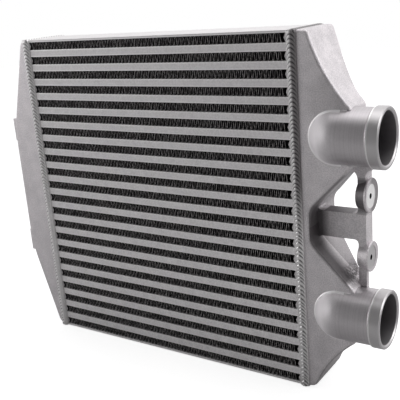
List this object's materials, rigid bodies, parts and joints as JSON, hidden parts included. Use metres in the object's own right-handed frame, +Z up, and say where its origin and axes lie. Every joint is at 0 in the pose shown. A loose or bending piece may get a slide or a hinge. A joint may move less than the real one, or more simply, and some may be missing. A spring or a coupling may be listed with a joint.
{
  "type": "intercooler",
  "caption": "Bar-and-plate charge-air cooler: finned core, cast closed tank at one end, cast tank with two hose necks and a bracket at the other.",
  "frame": {"origin": "middle of the underside of the core, on the bottom side plate", "axes": "+X towards the two hose necks, +Y towards the rear face, +Z up along the stack of rows"},
  "size_m": [0.4333, 0.074, 0.329],
  "materials": {
    "fin_foil": "dark brazed foil",
    "inner_foil": "brazed foil",
    "core_bars": "matt, brazed",
    "core_sheet": "matt, brazed",
    "core_plate": "matt",
    "cast_tank": "blasted casting",
    "weld": "weld bead"
  },
  "bodies": {
    "root": {"fin_strip_01": "fin_foil", "fin_strip_02": "fin_foil", "fin_strip_03": "fin_foil", "fin_strip_04": "fin_foil", "fin_strip_05": "fin_foil", "fin_strip_06": "fin_foil", "fin_strip_07": "fin_foil", "fin_strip_08": "fin_foil", "fin_strip_09": "fin_foil", "fin_strip_10": "fin_foil", "fin_strip_11": "fin_foil", "fin_strip_12": "fin_foil", "fin_strip_13": "fin_foil", "fin_strip_14": "fin_foil", "fin_strip_15": "fin_foil", "fin_strip_16": "fin_foil", "fin_strip_17": "fin_foil", "fin_strip_18": "fin_foil", "fin_strip_19": "fin_foil", "fin_strip_20": "fin_foil", "fin_strip_21": "fin_foil", "fin_strip_22": "fin_foil", "turbulator_01": "inner_foil", "turbulator_02": "inner_foil", "turbulator_03": "inner_foil", "turbulator_04": "inner_foil", "turbulator_05": "inner_foil", "turbulator_06": "inner_foil", "turbulator_07": "inner_foil", "turbulator_08": "inner_foil", "turbulator_09": "inner_foil", "turbulator_10": "inner_foil", "turbulator_11": "inner_foil", "turbulator_12": "inner_foil", "turbulator_13": "inner_foil", "turbulator_14": "inner_foil", "turbulator_15": "inner_foil", "turbulator_16": "inner_foil", "turbulator_17": "inner_foil", "turbulator_18": "inner_foil", "turbulator_19": "inner_foil", "turbulator_20": "inner_foil", "turbulator_21": "inner_foil", "front_channel_bars": "core_bars", "rear_channel_bars": "core_bars", "closing_bars_closed_end": "core_bars", "closing_bars_neck_end": "core_bars", "parting_sheets": "core_sheet", "side_plate_bottom": "core_plate", "side_plate_top": "core_plate", "necked_tank": "cast_tank", "closed_tank": "cast_tank", "weld_bead_neck_end": "weld", "weld_bead_closed_end": "weld"}
  },
  "joints": []
}
